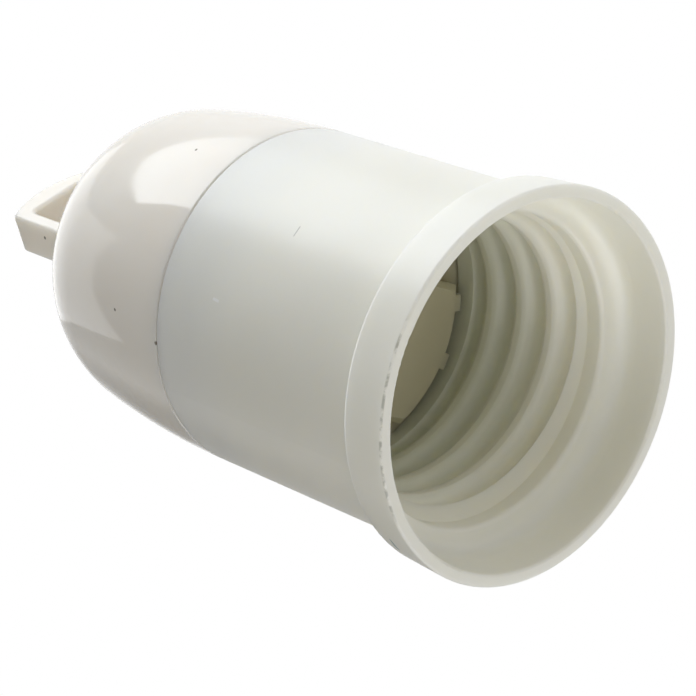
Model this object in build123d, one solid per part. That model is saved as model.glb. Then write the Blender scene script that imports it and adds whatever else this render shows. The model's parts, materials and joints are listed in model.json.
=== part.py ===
from build123d import *
from build123d.topology import SkipClean
from math import atan2, ceil, cos, degrees, radians, sin, sqrt
import os

# Hanging lamp holder for a screw-cap lamp, in millimetres.
# The rim of the mouth lies on z = 0, and +Z runs along the socket axis up to the hanging loop.

# Moulded lamp thread
socket_crest_r = 12.3        # plain bore that the crests of the thread lie on
thread_depth = 1.05          # from the crests to the bottom of the groove
socket_pitch = 3.629         # seven turns to the inch
crest_angle = 42.0           # azimuth at which a crest stands crest_rise above the foot of the lead-in cone
crest_rise = 3.7
lead_height = 1.8            # lead-in cone
thread_length = 11.9         # from the foot of the lead-in cone to the inner end of the thread
runout_depth = 0.6           # relief of the bore between the thread and the seat
runout_length = 3.6
land_relief = 0.05           # how far the round crest would stand inside the bore
land_angle = 8.0             # where the round of the crest stops, in degrees from its top
lengths_per_turn = 5         # how many lengths a turn of thread is made in

# Skirt, collar and mouth
skirt_wall = 2.0             # behind the thread groove, at the seam
skirt_draft = 0.1            # how much wider the skirt is at its foot
collar_height = 4.8
collar_step = 1.55           # how far the rim stands out from the skirt's foot
collar_flare = 0.3           # how much narrower the collar is at its top
collar_round_share = 0.4     # of the ledge on top of the collar
collar_fillet_share = 0.48
rim_wall = 1.17
rim_round = 0.25
mouth_depth = 3.3            # straight part of the mouth
mouth_draft = 0.15
shoulder_height = 1.9        # hollow shoulder from the mouth to the plain entry
entry_length = 1.8           # plain entry, from the shoulder to the lead-in cone
entry_clear = 0.15           # how much wider than the thread groove it is
entry_round = 0.5

# Screwed joint between skirt and cap
joint_length = 7.4           # from the ledge that carries the contact carrier to the seam
joint_wall = 1.45            # skirt around the bore above the ledge
joint_depth = 0.5            # depth of the groove in the skirt
joint_pitch = 2.5
joint_start = 0.4            # from the end of the spigot to the first groove
joint_groove_width = 1.5
joint_rib_width = 0.9
joint_rib_turns = 1.2
joint_clear = 0.25           # between the two threads, measured on the radius
spigot_wall = 0.95
seam_gap = 0.15
seam_round = 0.12            # on the two edges that meet at the seam

# Dome cap
dome_wall = 2.1
dome_side_r = 85.0           # long side arc, upright at the seam
dome_side_angle = 9.4
dome_shoulder_r = 12.0
dome_shoulder_angle = 70.0   # elevation at which the shoulder meets the crown
cable_hole_r = 3.0
cable_hole_elevation = 64.0  # seen from the centre of the shoulder arc
key_rib_width = 1.2          # ribs in the spigot that take the ends of the carrier's barrier between them
key_rib_reach = 2.5
key_clear = 0.3

# Hanging loop
loop_half_width = 4.5
loop_bar = 1.5               # width of the two legs
loop_end_bar = 2.6
loop_thickness = 4.1
loop_reach = 11.8            # from the crown of the dome to the end of the loop
loop_arch = 1.3              # how far the end of the loop is arched
loop_corner_round = 0.6      # outside and in the eye
loop_edge_round = 0.4
loop_foot_fillet = 0.7
loop_sink_share = 0.65       # how deep its feet stand in the wall of the dome

# Contact carrier
carrier_turn = 40.0          # azimuth of the barrier between the two terminals
carrier_gap = 0.1            # above the ledge and below the spigot
carrier_side_clear = 0.3
flange_thickness = 1.8
platform_clear = 1.0         # between the platform and the relieved bore
platform_height = 1.6
platform_low = 5.2           # platform edge on the side of the centre contact
platform_gap = 0.5           # from the platform's other edge to the side contact
platform_bevel = 0.55
nib_width = 1.5
nib_reach = 0.35
nib_angles = (-18.0, 8.0)    # small nibs on the platform's edge, from the barrier
barrier_thickness = 1.4
barrier_height = 5.0

# Contacts, terminals and their fasteners
strip_thickness = 0.5
strip_width = 4.0
strip_clear = 0.35           # room for the strip to rock at its rivet
lift_room = 0.6              # between the centre strip and the platform's face
strip_bend_r = 0.8
centre_rivet_gap = 3.4       # from the platform's edge to the rivet
strip_tail = 1.5             # strip past the rivet
centre_tip_drop = 1.65       # tip of the centre strip below the platform
centre_tip_reach = 2.2       # strip past the socket axis
side_tip_drop = 2.3          # tip of the side strip below the carrier's flange
side_leg_reach = 1.8         # from the rivet to the leg of the side strip
side_leg_inset = 1.2         # from the leg to the relieved bore
rivet_r = 0.8
rivet_head_r = 1.2
rivet_head_height = 0.6
terminal_thickness = 1.0
terminal_half_width = 3.5
terminal_inner_y = 2.4
terminal_clear = 0.6         # between the terminals and the spigot
screw_edge = 2.1             # from the inner end of a terminal to its screw
screw_r = 1.5
screw_head_r = 2.1
screw_head_height = 1.7
screw_slot_width = 0.7
screw_slot_depth = 0.8
screw_grip = 2.4             # length of screw in the carrier
washer_r = 2.2
washer_thickness = 0.8
hole_clear = 0.05
edge_near = 0.02             # how near to a face an edge must be to count as lying on it

# Sizes that follow from the driving ones
lead_z = mouth_depth + shoulder_height + entry_length
crest_z = lead_z + crest_rise
thread_end_z = lead_z + thread_length
seat_z = thread_end_z + runout_length
seam_z = seat_z + joint_length
socket_root_r = socket_crest_r + thread_depth
runout_r = socket_crest_r + runout_depth
skirt_r = socket_root_r + skirt_wall
skirt_foot_r = skirt_r + skirt_draft
rim_r = skirt_foot_r + collar_step
collar_ledge = collar_step - collar_flare
rim_inner_r = rim_r - rim_wall
mouth_r = rim_inner_r - mouth_draft
entry_r = socket_root_r + entry_clear
joint_minor_r = skirt_r - joint_wall
spigot_r = joint_minor_r - joint_clear
spigot_bore_r = spigot_r - spigot_wall
flange_low_z = seat_z + carrier_gap
flange_top_z = flange_low_z + flange_thickness
platform_z = flange_low_z - platform_height
spigot_low_z = flange_top_z + carrier_gap
joint_groove_low_z = spigot_low_z + joint_start
cap_low_z = seam_z + seam_gap
strip_z = flange_low_z - strip_clear - strip_thickness / 2
terminal_top_z = flange_top_z + terminal_thickness
terminal_outer_r = spigot_bore_r - terminal_clear
screw_y = terminal_inner_y + screw_edge
centre_rivet_y = -platform_low - centre_rivet_gap
centre_tip_z = platform_z - centre_tip_drop
side_rivet_y = runout_r - side_leg_inset - side_leg_reach
platform_r = runout_r - platform_clear
platform_high = side_rivet_y - strip_tail - platform_gap
barrier_half_length = spigot_bore_r - key_clear


def polar(radius, elevation):
    """A point at an angle from the first axis, as a flat vector."""
    return Vector(radius * cos(radians(elevation)), radius * sin(radians(elevation)))


# The three arcs of the dome, in the (radius, height) plane
side_centre = Vector(skirt_r - dome_side_r, cap_low_z)
side_end = side_centre + polar(dome_side_r, dome_side_angle)
shoulder_centre = side_end - polar(dome_shoulder_r, dome_side_angle)
shoulder_end = shoulder_centre + polar(dome_shoulder_r, dome_shoulder_angle)
crown_r = shoulder_end.X / cos(radians(dome_shoulder_angle))
crown_centre = shoulder_end - polar(crown_r, dome_shoulder_angle)
apex_z = crown_centre.Y + crown_r


def turned(profile):
    """Solid of revolution about Z of a closed profile drawn as (radius, height)."""
    return revolve(Plane.XZ * profile, Axis.Z)


def rounded(profile, corner, radius):
    """The flat profile with the corner nearest to a point rounded off."""
    vertex = profile.vertices().sort_by_distance((*corner, 0))[0]
    return fillet(vertex, radius)


def coil(section, pitch, radius, low_z, high_z):
    """Lengths of a right-hand coil, end to end from azimuth 0; section drawn as (radius, height)."""
    step = pitch / lengths_per_turn
    path = Helix(pitch=pitch, height=step, radius=radius)
    length = sweep(Plane.XZ * section, path=path, is_frenet=True)
    count = ceil((high_z - low_z) / step)
    turn = 360 / lengths_per_turn
    return [Pos(0, 0, low_z + n * step) * Rot(0, 0, turn * n) * length for n in range(count)]


def ring_sector(inner_r, outer_r, width, low_z, high_z):
    """A straight-sided block between two radii, on the +X side."""
    tube = Cylinder(outer_r, high_z - low_z) - Cylinder(inner_r, high_z - low_z)
    bar = Pos(outer_r, 0, 0) * Box(2 * outer_r, width, high_z - low_z)
    return Pos(0, 0, (low_z + high_z) / 2) * (tube & bar)


def disc(radius, low_z, high_z, x=0.0, y=0.0):
    """A plain cylinder between two heights."""
    return Pos(x, y, (low_z + high_z) / 2) * Cylinder(radius, high_z - low_z)


def block(x, y, z):
    """A box from its (low, high) limits on each axis."""
    size = [high - low for low, high in (x, y, z)]
    middle = [(high + low) / 2 for low, high in (x, y, z)]
    return Pos(*middle) * Box(*size)


def in_carrier_frame(shape):
    """Turns what is drawn with the terminal barrier along X into its place."""
    return Rot(0, 0, carrier_turn) * shape


def lamp_groove():
    """The space between the turns of the lamp thread: two tangent rounds, as in the lamp cap itself."""
    crest_top = socket_crest_r - land_relief
    depth = socket_root_r - crest_top
    half = socket_pitch / 2
    bend_r = (half**2 + depth**2) / (4 * depth)
    flank = degrees(atan2(half, 2 * bend_r - depth))
    root = CenterArc((socket_root_r - bend_r, 0), bend_r, -flank, 2 * flank)
    upper = CenterArc((crest_top + bend_r, half), bend_r, 180 + land_angle, flank - land_angle)
    lower = CenterArc((crest_top + bend_r, -half), bend_r, 180 - flank, flank - land_angle)
    inner_r = crest_top - depth
    inside = Polyline(upper @ 0, (inner_r, (upper @ 0).Y), (inner_r, (lower @ 1).Y), lower @ 1)
    section = make_face(root.edges() + upper.edges() + lower.edges() + inside.edges())
    groove_z = crest_z - socket_pitch / 2 - crest_angle / 360 * socket_pitch
    while groove_z + socket_pitch < lead_z - socket_pitch / 2:
        groove_z += socket_pitch
    while groove_z > lead_z - socket_pitch / 2:
        groove_z -= socket_pitch
    return coil(section, socket_pitch, socket_root_r, groove_z, seat_z + socket_pitch / 2)


def joint_thread(root_r, crest_r, root_width, crest_width, low_z, high_z):
    """A coil with sloping flanks for the screwed joint between skirt and cap."""
    section = make_face(Polyline(
        (root_r, -root_width / 2), (crest_r, -crest_width / 2),
        (crest_r, crest_width / 2), (root_r, root_width / 2), close=True))
    return coil(section, joint_pitch, joint_minor_r, low_z, high_z)


def body_shell():
    """Skirt with its flared collar, the moulded lamp thread and the screwed joint for the cap."""
    collar_top_r = rim_r - collar_flare
    shoulder_z = mouth_depth + shoulder_height
    outline = [
        Polyline(
            (mouth_r, mouth_depth), (rim_inner_r, 0), (rim_r, 0), (collar_top_r, collar_height),
            (skirt_foot_r, collar_height), (skirt_r, seam_z), (joint_minor_r, seam_z),
            (joint_minor_r, seat_z), (runout_r, seat_z), (runout_r, thread_end_z + runout_depth),
            (socket_crest_r, thread_end_z), (socket_crest_r, lead_z + lead_height), (entry_r, lead_z),
            (entry_r, shoulder_z)),
        RadiusArc((entry_r, shoulder_z), (mouth_r, mouth_depth), (mouth_r - entry_r + shoulder_height) / 2)]
    profile = make_face([edge for line in outline for edge in line.edges()])
    profile = rounded(profile, (rim_inner_r, 0), rim_round)
    profile = rounded(profile, (rim_r, 0), rim_round)
    profile = rounded(profile, (collar_top_r, collar_height), collar_round_share * collar_ledge)
    profile = rounded(profile, (skirt_foot_r, collar_height), collar_fillet_share * collar_ledge)
    profile = rounded(profile, (entry_r, shoulder_z), entry_round)
    profile = rounded(profile, (skirt_r, seam_z), seam_round)
    joint_groove = joint_thread(
        joint_minor_r - joint_clear, joint_minor_r + joint_depth, joint_groove_width,
        joint_groove_width - joint_depth, joint_groove_low_z, seam_z + joint_pitch)
    half = revolve(Plane.XZ * profile, Axis.Z, 180)
    with SkipClean():
        # the faces stay parted where the two halves of the mould meet
        shell = half + Rot(0, 0, 180) * half
        for length in lamp_groove() + joint_groove:
            shell -= length
    return shell


def dome():
    """Turned body of the cap: dome, hollow inside, and the spigot that screws into the skirt."""
    inner_shoulder_r = dome_shoulder_r - dome_wall
    inner_crown_r = crown_r - dome_wall
    side = CenterArc(side_centre, dome_side_r, 0, dome_side_angle)
    shoulder_turn = dome_shoulder_angle - dome_side_angle
    shoulder = CenterArc(shoulder_centre, dome_shoulder_r, dome_side_angle, shoulder_turn)
    crown = CenterArc(crown_centre, crown_r, dome_shoulder_angle, 90 - dome_shoulder_angle)
    inner_crown = CenterArc(crown_centre, inner_crown_r, dome_shoulder_angle, 90 - dome_shoulder_angle)
    inner_shoulder = CenterArc(shoulder_centre, inner_shoulder_r, 0, dome_shoulder_angle)
    axis_line = Line(crown @ 1, inner_crown @ 1)
    base = Polyline(
        inner_shoulder @ 0, (spigot_bore_r, spigot_low_z), (spigot_r, spigot_low_z),
        (spigot_r, cap_low_z), side @ 0)
    parts = (side, shoulder, crown, axis_line, inner_crown, inner_shoulder, base)
    profile = make_face([edge for line in parts for edge in line.edges()])
    profile = rounded(profile, (skirt_r, cap_low_z), seam_round)
    return turned(profile)


def hanging_loop():
    """Flat arched loop with a square-cornered eye, its feet sunk into the crown of the dome."""
    foot_z = apex_z - loop_sink_share * dome_wall
    end_z = apex_z + loop_reach
    corner_z = end_z - loop_arch
    eye_half_width = loop_half_width - loop_bar
    legs = Polyline(
        (-loop_half_width, corner_z), (-loop_half_width, foot_z),
        (loop_half_width, foot_z), (loop_half_width, corner_z))
    arch = ThreePointArc((-loop_half_width, corner_z), (0, end_z), (loop_half_width, corner_z))
    plate = make_face(legs.edges() + arch.edges())
    eye_top_z = end_z - loop_end_bar
    eye = make_face(Polyline(
        (-eye_half_width, foot_z - loop_bar), (eye_half_width, foot_z - loop_bar),
        (eye_half_width, eye_top_z), (-eye_half_width, eye_top_z), close=True))
    for side in (-1, 1):
        plate = rounded(plate, (side * loop_half_width, corner_z), loop_corner_round)
        eye = rounded(eye, (side * eye_half_width, eye_top_z), loop_corner_round)
    solid = extrude(Plane.XZ * (plate - eye), loop_thickness / 2, both=True)
    rims = solid.edges().filter_by(lambda edge: abs(abs(edge.center().Y) - loop_thickness / 2) < edge_near)
    rims = rims.filter_by(lambda edge: edge.center().Z > foot_z + edge_near)
    return fillet(rims, loop_edge_round)


def cable_hole():
    """Drill for the cable entry, square to the shoulder of the dome beside the loop."""
    direction = polar(1, cable_hole_elevation)
    middle = shoulder_centre + polar(dome_shoulder_r - dome_wall / 2, cable_hole_elevation)
    drill = Plane(origin=(0, middle.X, middle.Y), z_dir=(0, direction.X, direction.Y))
    return drill * Cylinder(cable_hole_r, 3 * dome_wall)


def dome_cap():
    """Dome with its loop, cable entry, joint thread and the ribs that hold the carrier's barrier."""
    cap = dome() + hanging_loop()
    feet = cap.edges().filter_by(is_loop_foot)
    cap = fillet(feet, loop_foot_fillet)
    cap -= cable_hole()
    rib_low_z = joint_groove_low_z + joint_pitch / 4
    turn = (rib_low_z - joint_groove_low_z) / joint_pitch * 360
    rib = joint_thread(
        spigot_r - joint_clear, spigot_r + joint_depth, joint_rib_width, joint_rib_width - joint_depth,
        rib_low_z, rib_low_z + joint_rib_turns * joint_pitch)
    for length in rib:
        cap += Rot(0, 0, turn) * length
    for side in (0, 180):
        cap += in_carrier_frame(Rot(0, 0, side) * key_ribs())
    return cap


def key_ribs():
    """Two ribs in the bore of the spigot, one on each side of an end of the carrier's barrier."""
    slot = barrier_thickness + 2 * key_clear
    inner_r = spigot_bore_r - key_rib_reach
    outer_r = spigot_bore_r + spigot_wall / 2
    high_z = flange_top_z + barrier_height
    pair = ring_sector(inner_r, outer_r, slot + 2 * key_rib_width, spigot_low_z, high_z)
    return pair - block((0, outer_r + key_clear), (-slot / 2, slot / 2), (spigot_low_z, high_z))


def is_loop_foot(edge):
    """Tells the edges where the legs of the loop meet the outside of the crown."""
    middle = edge @ 0.5
    reach = sqrt(middle.X**2 + middle.Y**2)
    crown_z = crown_centre.Y + sqrt(max(crown_r**2 - reach**2, 0))
    return reach < 2 * loop_half_width and abs(middle.Z - crown_z) < edge_near


def platform():
    """Raised face of the carrier at the bottom of the socket, cut back on both sides for the contacts."""
    plate = disc(platform_r, platform_z, flange_low_z)
    band = block((-platform_r, platform_r), (-platform_low, platform_high), (platform_z, flange_low_z))
    plate = plate & band
    rim = plate.faces().sort_by(Axis.Z)[0].edges()
    plate = chamfer(rim, platform_bevel)
    for angle in nib_angles:
        nib = ring_sector(platform_r - platform_bevel - nib_reach, platform_r + nib_reach, nib_width,
                          platform_z + platform_bevel / 2, flange_low_z)
        plate += Rot(0, 0, angle) * nib
    return plate


def contact_carrier():
    """Insulating insert: flange on the ledge, platform towards the lamp, barrier between the terminals."""
    flange_r = joint_minor_r - carrier_side_clear
    carrier = disc(flange_r, flange_low_z, flange_top_z) + platform()
    carrier += block((-barrier_half_length, barrier_half_length),
                     (-barrier_thickness / 2, barrier_thickness / 2),
                     (flange_top_z, flange_top_z + barrier_height))
    for y in (centre_rivet_y, side_rivet_y):
        carrier -= disc(rivet_r + hole_clear, flange_low_z, flange_top_z, 0, y)
    for side in (-1, 1):
        hole_low_z = flange_top_z - screw_grip - hole_clear
        carrier -= disc(screw_r + hole_clear, hole_low_z, flange_top_z, 0, side * screw_y)
    return in_carrier_frame(carrier)


def strip(points, rivet_y):
    """Bent spring strip along points drawn as (y, z), with a hole for its rivet."""
    bends = [strip_bend_r] * (len(points) - 2)
    path = FilletPolyline(*[(0, y, z) for y, z in points], radius=bends)
    start = Plane(origin=path @ 0, x_dir=(1, 0, 0), z_dir=path % 0)
    bent = sweep(start * Rectangle(strip_width, strip_thickness), path=path)
    hole = disc(rivet_r + strip_clear, strip_z - strip_thickness, strip_z + strip_thickness, 0, rivet_y)
    return in_carrier_frame(bent - hole)


def centre_contact():
    """Strip from its rivet under the flange, past the platform's edge and over the socket axis."""
    under_z = platform_z - strip_thickness / 2 - lift_room
    return strip([
        (centre_rivet_y - strip_tail, strip_z), (centre_rivet_y + strip_tail, strip_z),
        (-platform_low + strip_thickness, under_z), (0, centre_tip_z),
        (centre_tip_reach, centre_tip_z + strip_thickness)], centre_rivet_y)


def side_contact():
    """Short strip with a leg that the end of the lamp's screw shell presses outwards."""
    leg_y = side_rivet_y + side_leg_reach
    return strip([
        (side_rivet_y - strip_tail, strip_z), (leg_y, strip_z),
        (leg_y, flange_low_z - side_tip_drop)], side_rivet_y)


def terminal(side, rivet_y):
    """Brass plate on the carrier that joins a contact's rivet to its wire screw."""
    y = sorted((side * terminal_inner_y, side * terminal_outer_r))
    plate = block((-terminal_half_width, terminal_half_width), y, (flange_top_z, terminal_top_z))
    plate = plate & disc(terminal_outer_r, flange_top_z, terminal_top_z)
    plate -= disc(rivet_r + hole_clear, flange_top_z, terminal_top_z, 0, rivet_y)
    plate -= disc(screw_r + hole_clear, flange_top_z, terminal_top_z, 0, side * screw_y)
    return in_carrier_frame(plate)


def terminal_screw(side):
    """Slotted cheese-head screw on one terminal."""
    head_z = terminal_top_z + washer_thickness
    top_z = head_z + screw_head_height
    screw = disc(screw_head_r, head_z, top_z) + disc(screw_r, flange_top_z - screw_grip, head_z)
    slot = block((-screw_head_r, screw_head_r), (-screw_slot_width / 2, screw_slot_width / 2),
                 (top_z - screw_slot_depth, top_z))
    return in_carrier_frame(Pos(0, side * screw_y, 0) * (screw - slot))


def clamp_washer(side):
    """Washer that holds the wire under the screw's head."""
    top_z = terminal_top_z + washer_thickness
    washer = disc(washer_r, terminal_top_z, top_z) - disc(screw_r + hole_clear, terminal_top_z, top_z)
    return in_carrier_frame(Pos(0, side * screw_y, 0) * washer)


def contact_rivet(y):
    """Rivet through strip, carrier and terminal plate."""
    low_z = strip_z - strip_thickness / 2 - strip_clear
    rivet = disc(rivet_r, low_z, terminal_top_z)
    rivet += disc(rivet_head_r, low_z - rivet_head_height, low_z)
    rivet += disc(rivet_head_r, terminal_top_z, terminal_top_z + rivet_head_height)
    return in_carrier_frame(Pos(0, y, 0) * rivet)


nodes = {
    "body_shell": body_shell(),
    "dome_cap": dome_cap(),
    "contact_carrier": contact_carrier(),
    "centre_contact": centre_contact(),
    "side_contact": side_contact(),
    "centre_terminal": terminal(-1, centre_rivet_y),
    "side_terminal": terminal(1, side_rivet_y),
    "terminal_screws": Compound([terminal_screw(side).solid() for side in (-1, 1)]),
    "clamp_washers": Compound([clamp_washer(side).solid() for side in (-1, 1)]),
    "contact_rivets": Compound([contact_rivet(y).solid() for y in (centre_rivet_y, side_rivet_y)]),
}

os.makedirs("parts", exist_ok=True)
for name, shape in nodes.items():
    export_step(shape, f"parts/{name}.step")
    print(name, len(shape.solids()), "solids", round(shape.volume, 1), "mm3")
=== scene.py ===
import json
from math import radians

import bmesh
import bpy
from mathutils import Matrix, Vector

# Lengths are in metres, unless a comment says otherwise

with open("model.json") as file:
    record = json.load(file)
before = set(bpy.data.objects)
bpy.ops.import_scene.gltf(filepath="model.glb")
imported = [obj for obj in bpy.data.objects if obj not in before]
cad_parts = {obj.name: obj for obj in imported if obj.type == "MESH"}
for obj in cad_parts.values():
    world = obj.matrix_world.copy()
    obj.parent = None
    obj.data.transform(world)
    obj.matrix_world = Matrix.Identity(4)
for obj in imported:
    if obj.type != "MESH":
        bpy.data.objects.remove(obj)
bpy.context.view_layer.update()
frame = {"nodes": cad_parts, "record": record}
scene = bpy.context.scene
scene.view_settings.view_transform = "Standard"

# Camera: it looks up into the mouth from below and to one side
camera_place = Vector((-0.12969, -0.13190, -0.15907))
camera_forward = Vector((0.4954, 0.5165, 0.6984)).normalized()
camera_up = Vector((0.5031, -0.8260, 0.2541))
camera_near = 0.001
camera_lens = 155.17             # millimetres
sensor_width = 36.0              # millimetres

# Floor
floor_radius = 0.6
floor_sides = 96
floor_drop = 0.0002              # gap under the rim
floor_fade_start = 0.03          # distances from the origin
floor_fade_end = 0.13
floor_colour = (0.9, 0.9, 0.9, 1)

# Lamps: each panel stands at a distance from its aim and is shifted and turned in its own plane
panels = {
    "softbox": {          # as its reflection on the dome shows it, fading along its width
        "aim": (0.0, -0.015, 0.030), "direction": (0.207, -0.518, 0.830),
        "width_axis": (0.941, 0.337, -0.024), "distance": 0.5, "size": (0.44, 0.31),
        "shift": (0.015, -0.115), "tilt": -7.6,
        "power": 1.8, "colour": (0.92, 0.96, 1.0), "fade": 0.10},
    "overhead": {
        "aim": (0.0, 0.0, 0.030), "direction": (0.25, -0.85, 0.40),
        "width_axis": (0.85, 0.52, 0.0), "distance": 0.6, "size": (0.50, 0.50),
        "power": 2.45, "colour": (0.93, 0.96, 1.0), "unseen_by": "glossy"},
    "table_bounce": {
        "aim": (0.0, 0.0, 0.010), "direction": (-0.50, 0.60, -0.62),
        "width_axis": (0.85, 0.52, 0.0), "distance": 0.35, "size": (0.40, 0.30),
        "power": 0.56, "colour": (1.0, 0.99, 0.97)},
    "side_fill": {
        "aim": (0.0, 0.0, 0.020), "direction": (0.70, -0.35, -0.62),
        "width_axis": (0.0, 0.0, 1.0), "distance": 0.5, "size": (0.40, 0.40),
        "power": 0.37, "colour": (1.0, 1.0, 1.0), "unseen_by": "glossy"},
    "backdrop": {         # on the far side, from where it shines through the thin walls
        "aim": (0.0, 0.0, 0.010), "direction": (0.80, 0.55, 0.05),
        "width_axis": (0.5, -0.85, 0.0), "distance": 0.5, "size": (0.50, 0.50),
        "power": 0.85, "colour": (1.0, 1.0, 1.0), "unseen_by": "glossy"},
    "back_card": {        # only mirrored, along the crown of the dome
        "aim": (0.0, 0.0, 0.045), "direction": (-0.10, 0.06, 0.99),
        "width_axis": (1.0, 0.0, 0.0), "distance": 0.5, "size": (0.46, 0.40), "tilt": 12.0,
        "power": 0.50, "colour": (0.97, 0.985, 1.0), "unseen_by": "diffuse"},
}

# World light: it changes along Z, from the side that the mouth faces to the side of the loop
ambient_low = 0.37
ambient_high = 0.08
ambient_colour = (1.0, 0.985, 0.90, 1)

# The white background, and the part of it, low behind the object in the photo, that gloss shows dimmer
background_colour = (1, 1, 1, 1)
dim_way = (0.0, 0.862, 0.507)
dim_from = 0.86                  # cosines of the angle to dim_way where the dimming starts and is full
dim_to = 0.96
dim_level = 0.25

# Moulded plastic: the ends of its drift in tint, and of its roughness.
# No roughness crosses 0.27, where the denoiser leaves flecks.
body_tones = ((0.86, 0.852, 0.795, 1), (0.835, 0.827, 0.765, 1))
body_roughness = (0.285, 0.34)
cap_tones = ((0.85, 0.81, 0.75, 1), (0.825, 0.775, 0.705, 1))
cap_roughness = (0.06, 0.10)
carrier_tones = ((0.70, 0.66, 0.50, 1), (0.64, 0.60, 0.43, 1))
carrier_roughness = (0.30, 0.45)
tint_blot = 0.014                # sizes of the blots in tint, height and shine
wave_blot = 0.005
shine_blot = 0.003
scatter_depth = 0.0020
scatter_radius = (1.0, 0.95, 0.84)

# Metals: bright and tarnished tones, and the ends of their roughness
contact_tones = ((0.83, 0.66, 0.36, 1), (0.66, 0.48, 0.24, 1))
contact_roughness = (0.29, 0.42)
terminal_tones = ((0.84, 0.69, 0.42, 1), (0.70, 0.54, 0.30, 1))
terminal_roughness = (0.30, 0.45)
steel_tones = ((0.66, 0.66, 0.65, 1), (0.52, 0.52, 0.50, 1))
steel_roughness = (0.29, 0.42)
tarnish_blot = 0.003
tarnish_span = (0.4, 0.75)       # values of the noise where tarnish starts and is full
scratch_blot = 0.0002

# All materials
bump_height = 0.000004
noise_span = (0.3, 0.7)          # where most values of a noise lie
fine_detail = 4.0

# Marks seen in the photo: start, end, half width and colour of each
speck_colour = (0.16, 0.14, 0.10, 1)
streak_core = 0.4                # share of the half width that has the full colour
body_marks = (
    ((-0.00674, -0.01381, 0.01745), (-0.00591, -0.01420, 0.01748), 0.00009, (0.52, 0.51, 0.47, 1)),
    ((-0.01580, 0.00600, 0.00300), (-0.01500, 0.00760, 0.00320), 0.00016, (0.16, 0.30, 0.30, 1)),
    ((-0.01225, -0.00925, 0.02318), (-0.01228, -0.00922, 0.02263), 0.00018, (0.95, 0.95, 0.93, 1)),
    ((0.01220, 0.00320, 0.01420), (0.01220, 0.00335, 0.01420), 0.00016, speck_colour),
    ((0.01270, 0.00010, 0.01420), (0.01270, 0.00025, 0.01420), 0.00014, speck_colour),
    ((0.01250, 0.00250, 0.00700), (0.01250, 0.00270, 0.00710), 0.00016, speck_colour))
cap_marks = (
    ((-0.00450, -0.00079, 0.06034), (-0.00450, -0.00070, 0.06040), 0.00020, speck_colour),
    ((-0.01476, -0.00416, 0.03002), (-0.01474, -0.00424, 0.03006), 0.00022, speck_colour),
    ((-0.01411, -0.00552, 0.03589), (-0.01409, -0.00556, 0.03595), 0.00016, speck_colour),
    ((-0.00192, -0.01507, 0.03517), (-0.00186, -0.01508, 0.03520), 0.00016, speck_colour))

# Painted shade in the socket, olive-tinted, that grows with depth: each pair runs from where there is none
# to where it is full
socket_shade_colour = (0.46, 0.49, 0.34, 1)
socket_shade_radius = (0.0141, 0.0136)
socket_shade_height = (0.006, 0.020)
socket_shade_share = 0.5

# Broken dark line along the outer corner of the rim, on one side: pairs as above
dirt_colour = (0.22, 0.23, 0.21, 1)
dirt_radius = (0.01678, 0.01689)
dirt_height = (0.00025, 0.00012)
dirt_way = (-0.93, -0.36, 0)
dirt_reach = (0.0140, 0.0156)    # distances from the axis along dirt_way
dirt_blot = 0.0009
dirt_span = (0.42, 0.62)         # values of the noise that breaks the line
dirt_share = 0.6

mix_first, mix_second, mix_result = 6, 7, 2    # colour sockets of a Mix node


def square_axes(main, other):
    """Two unit vectors at right angles: main, and other with its share along main taken out."""
    main = main.normalized()
    return main, (other - main * other.dot(main)).normalized()


def aimed(place, toward, width_axis):
    """World matrix of a camera or light at a place, looking along a direction, its X along width_axis."""
    back, width = square_axes(-toward, width_axis)
    height = back.cross(width)
    turn = Matrix((width, height, back)).transposed().to_4x4()
    return Matrix.Translation(place) @ turn


def add(tree, kind, inputs, **settings):
    """A new node; its inputs are plain values, or sockets to link, by name or number."""
    node = tree.nodes.new("ShaderNode" + kind)
    for key, value in settings.items():
        setattr(node, key, value)
    for key, value in inputs.items():
        if isinstance(value, bpy.types.NodeSocket):
            tree.links.new(value, node.inputs[key])
        else:
            node.inputs[key].default_value = value
    return node


def calc(tree, operation, first, second):
    return add(tree, "Math", {0: first, 1: second}, operation=operation).outputs[0]


def vector_calc(tree, operation, first, second):
    """Vector operation with a plain number as its result."""
    return add(tree, "VectorMath", {0: first, 1: second}, operation=operation).outputs["Value"]


def ramp(tree, value, low, high, start=0.0, end=1.0):
    """Smooth step from start to end while the value goes from low to high."""
    inputs = {"Value": value, "From Min": low, "From Max": high, "To Min": start, "To Max": end}
    return add(tree, "MapRange", inputs, interpolation_type="SMOOTHSTEP").outputs[0]


def mixed(tree, share, first, second):
    """Colour between two colours."""
    node = add(tree, "Mix", {0: share, mix_first: first, mix_second: second}, data_type="RGBA")
    return node.outputs[mix_result]


def noise(tree, place, size, detail=2.0):
    """Noise between 0 and 1 with blots of about the given size."""
    return add(tree, "TexNoise", {"Vector": place, "Scale": 1 / size, "Detail": detail}).outputs[0]


def bumped(tree, shader, height):
    """Gives a shader a surface that is not quite even."""
    bump = add(tree, "Bump", {"Height": height, "Distance": bump_height, "Strength": 1.0})
    tree.links.new(bump.outputs[0], shader.inputs["Normal"])


def streak(tree, place, start, end, width):
    """Mask of a thin streak between two points."""
    start, run = Vector(start), Vector(end) - Vector(start)
    offset = add(tree, "VectorMath", {0: place, 1: start}, operation="SUBTRACT").outputs[0]
    along = vector_calc(tree, "DOT_PRODUCT", offset, run / run.length_squared)
    share = add(tree, "Clamp", {0: along}).outputs[0]
    foot = add(tree, "VectorMath", {0: run, "Scale": share}, operation="SCALE").outputs[0]
    return ramp(tree, vector_calc(tree, "DISTANCE", offset, foot), width, streak_core * width)


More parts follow.
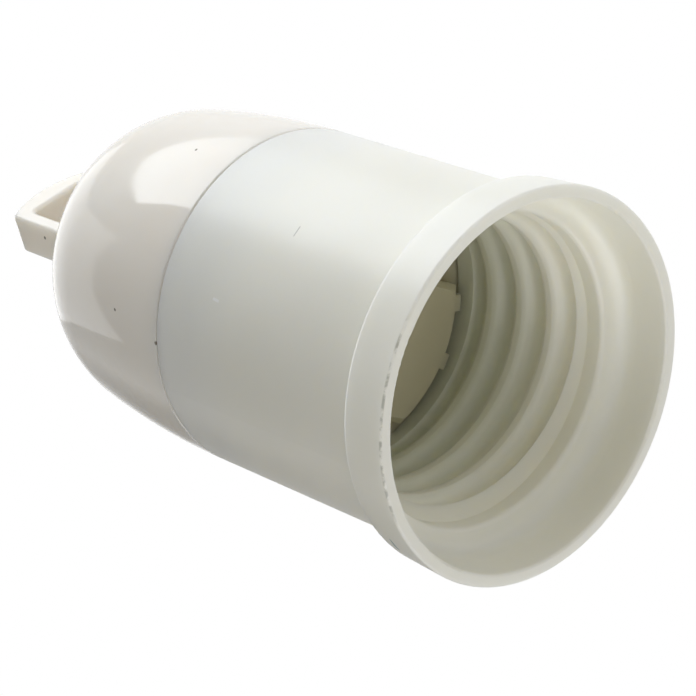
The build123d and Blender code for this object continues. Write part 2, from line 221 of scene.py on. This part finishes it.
def around_axis(tree, place):
    """Distance from the axis and height along it."""
    flat = add(tree, "VectorMath", {0: place, 1: (1, 1, 0)}, operation="MULTIPLY").outputs[0]
    return vector_calc(tree, "LENGTH", flat, (0, 0, 0)), vector_calc(tree, "DOT_PRODUCT", place, (0, 0, 1))


def painted_socket_shade(tree, place):
    """Mask of the painted shade, olive-tinted, that grows with depth in the socket."""
    across, height = around_axis(tree, place)
    inside = ramp(tree, across, *socket_shade_radius)
    return calc(tree, "MULTIPLY", inside, ramp(tree, height, *socket_shade_height, 0.0, socket_shade_share))


def rim_dirt(tree, place):
    """Mask of the broken dark line along the outer corner of the rim, on one side."""
    across, height = around_axis(tree, place)
    side = vector_calc(tree, "DOT_PRODUCT", place, dirt_way)
    breaks = noise(tree, place, dirt_blot, fine_detail)
    mask = calc(tree, "MULTIPLY", ramp(tree, across, *dirt_radius), ramp(tree, height, *dirt_height))
    mask = calc(tree, "MULTIPLY", mask, ramp(tree, side, *dirt_reach))
    return calc(tree, "MULTIPLY", mask, ramp(tree, breaks, *dirt_span, 0.0, dirt_share))


def new_material(name):
    material = bpy.data.materials.new(name)
    material.use_nodes = True
    tree = material.node_tree
    place = add(tree, "TexCoord", {}).outputs["Object"]
    return material, tree, tree.nodes["Principled BSDF"], place


def plastic(name, tones, roughness, marks=(), dirt_and_shade=()):
    """Moulded plastic: slow drift of its tint, a surface not quite even, grime and painted shade laid on
    by masks, and marks on it.
    """
    material, tree, shader, place = new_material(name)
    drift = ramp(tree, noise(tree, place, tint_blot), *noise_span)
    colour = mixed(tree, drift, *tones)
    # Masks of grime, and of painted shade in the socket, darken the tint
    for mask, tint in dirt_and_shade:
        colour = mixed(tree, mask(tree, place), colour, tint)
    for start, end, width, tint in marks:
        colour = mixed(tree, streak(tree, place, start, end, width), colour, tint)
    shine = ramp(tree, noise(tree, place, shine_blot), *noise_span, *roughness)
    tree.links.new(colour, shader.inputs["Base Color"])
    tree.links.new(shine, shader.inputs["Roughness"])
    bumped(tree, shader, noise(tree, place, wave_blot, 1.0))
    shader.inputs["Subsurface Weight"].default_value = 1.0
    shader.inputs["Subsurface Radius"].default_value = scatter_radius
    shader.inputs["Subsurface Scale"].default_value = scatter_depth
    return material


def metal(name, tones, roughness):
    """Worked metal: tarnish in blots, and fine scratches that rough it up."""
    material, tree, shader, place = new_material(name)
    tarnish = ramp(tree, noise(tree, place, tarnish_blot, fine_detail), *tarnish_span)
    scratch = noise(tree, place, scratch_blot, fine_detail)
    tree.links.new(mixed(tree, tarnish, *tones), shader.inputs["Base Color"])
    tree.links.new(ramp(tree, scratch, *noise_span, *roughness), shader.inputs["Roughness"])
    bumped(tree, shader, scratch)
    shader.inputs["Metallic"].default_value = 1.0
    return material


def floor_material():
    """Pale paint on the upper side, clear from below and far out."""
    material = bpy.data.materials.new("pale_floor")
    material.use_nodes = True
    tree = material.node_tree
    tree.nodes.clear()
    paint = add(tree, "BsdfDiffuse", {"Color": floor_colour})
    clear = add(tree, "BsdfTransparent", {})
    geometry = add(tree, "NewGeometry", {})
    reach = vector_calc(tree, "LENGTH", geometry.outputs["Position"], (0, 0, 0))
    fade = ramp(tree, reach, floor_fade_start, floor_fade_end)
    hidden = calc(tree, "MAXIMUM", fade, geometry.outputs["Backfacing"])
    surface = add(tree, "MixShader", {0: hidden, 1: paint.outputs[0], 2: clear.outputs[0]})
    add(tree, "OutputMaterial", {"Surface": surface.outputs[0]})
    return material


def add_camera():
    data = bpy.data.cameras.new("photo_camera")
    data.sensor_width = sensor_width
    data.lens = camera_lens
    data.clip_start = camera_near
    camera = bpy.data.objects.new("photo_camera", data)
    scene.collection.objects.link(camera)
    camera.matrix_world = aimed(camera_place, camera_forward, camera_forward.cross(camera_up))
    scene.camera = camera


def add_panel(name, look):
    data = bpy.data.lights.new(name, "AREA")
    data.shape = "RECTANGLE"
    data.size, data.size_y = look["size"]
    data.energy = look["power"]
    data.color = look["colour"]
    light = bpy.data.objects.new(name, data)
    scene.collection.objects.link(light)
    direction, width = square_axes(Vector(look["direction"]), Vector(look["width_axis"]))
    depth = direction.cross(width)
    shift = look.get("shift", (0.0, 0.0))
    place = Vector(look["aim"]) + direction * look["distance"] + width * shift[0] + depth * shift[1]
    tilted = Matrix.Rotation(radians(look.get("tilt", 0.0)), 3, direction) @ width
    light.matrix_world = aimed(place, -direction, tilted)
    if "unseen_by" in look:
        setattr(light, "visible_" + look["unseen_by"], False)
    if "fade" in look:
        fade_across(data, look["fade"])


def fade_across(data, far_level):
    """Lets a panel's light fall off along its width, from full at one side to far_level at the other."""
    data.use_nodes = True
    tree = data.node_tree
    tree.nodes.clear()
    spot = add(tree, "SeparateXYZ", {0: add(tree, "NewGeometry", {}).outputs["Parametric"]}).outputs[0]
    level = add(tree, "MapRange", {"Value": spot, "To Min": 1.0, "To Max": far_level}).outputs[0]
    emission = add(tree, "Emission", {"Strength": level})
    add(tree, "OutputLight", {"Surface": emission.outputs[0]})


def add_world():
    """Soft light all round, and a white background for the camera, gloss and clear pieces."""
    world = bpy.data.worlds.new("studio")
    scene.world = world
    world.use_nodes = True
    tree = world.node_tree
    tree.nodes.clear()
    way = add(tree, "TexCoord", {}).outputs["Generated"]
    rise = vector_calc(tree, "DOT_PRODUCT", way, (0, 0, 1))
    level = ramp(tree, rise, -1.0, 1.0, ambient_low, ambient_high)
    ambient = add(tree, "Background", {"Color": ambient_colour, "Strength": level})
    path = add(tree, "LightPath", {})
    seen = path.outputs["Is Camera Ray"]
    mirrored = ramp(tree, vector_calc(tree, "DOT_PRODUCT", way, dim_way), dim_from, dim_to, 1.0, dim_level)
    strength = calc(tree, "MAXIMUM", seen, mirrored)
    white = add(tree, "Background", {"Color": background_colour, "Strength": strength})
    for ray in ("Is Glossy Ray", "Is Transmission Ray"):
        seen = calc(tree, "MAXIMUM", seen, path.outputs[ray])
    choose = add(tree, "MixShader", {0: seen, 1: ambient.outputs[0], 2: white.outputs[0]})
    add(tree, "OutputWorld", {"Surface": choose.outputs[0]})


def add_floor():
    """Pale round floor under the rim, seen only from above, that fades into the white background."""
    mesh = bpy.data.meshes.new("floor")
    form = bmesh.new()
    bmesh.ops.create_circle(form, cap_ends=True, segments=floor_sides, radius=floor_radius)
    form.to_mesh(mesh)
    form.free()
    floor = bpy.data.objects.new("floor", mesh)
    floor.location.z = -floor_drop
    scene.collection.objects.link(floor)
    for ray in ("diffuse", "glossy", "transmission", "volume_scatter", "shadow"):
        setattr(floor, "visible_" + ray, False)
    mesh.materials.append(floor_material())


# The socket mask is painted shade that deepens into the socket; the rim mask is a broken line of grime
body_dirt_and_shade = ((painted_socket_shade, socket_shade_colour), (rim_dirt, dirt_colour))
looks = {
    "body_plastic": plastic("body_plastic", body_tones, body_roughness, body_marks, body_dirt_and_shade),
    "cap_plastic": plastic("cap_plastic", cap_tones, cap_roughness, cap_marks),
    "carrier_plastic": plastic("carrier_plastic", carrier_tones, carrier_roughness),
    "contact_brass": metal("contact_brass", contact_tones, contact_roughness),
    "terminal_brass": metal("terminal_brass", terminal_tones, terminal_roughness),
    "screw_steel": metal("screw_steel", steel_tones, steel_roughness),
}
for part in frame["record"]["subparts"]:
    node = frame["nodes"][part["node"]]
    node.data.materials.clear()
    node.data.materials.append(looks[part["material_slot"]])

add_camera()
for name, look in panels.items():
    add_panel(name, look)
add_world()
add_floor()
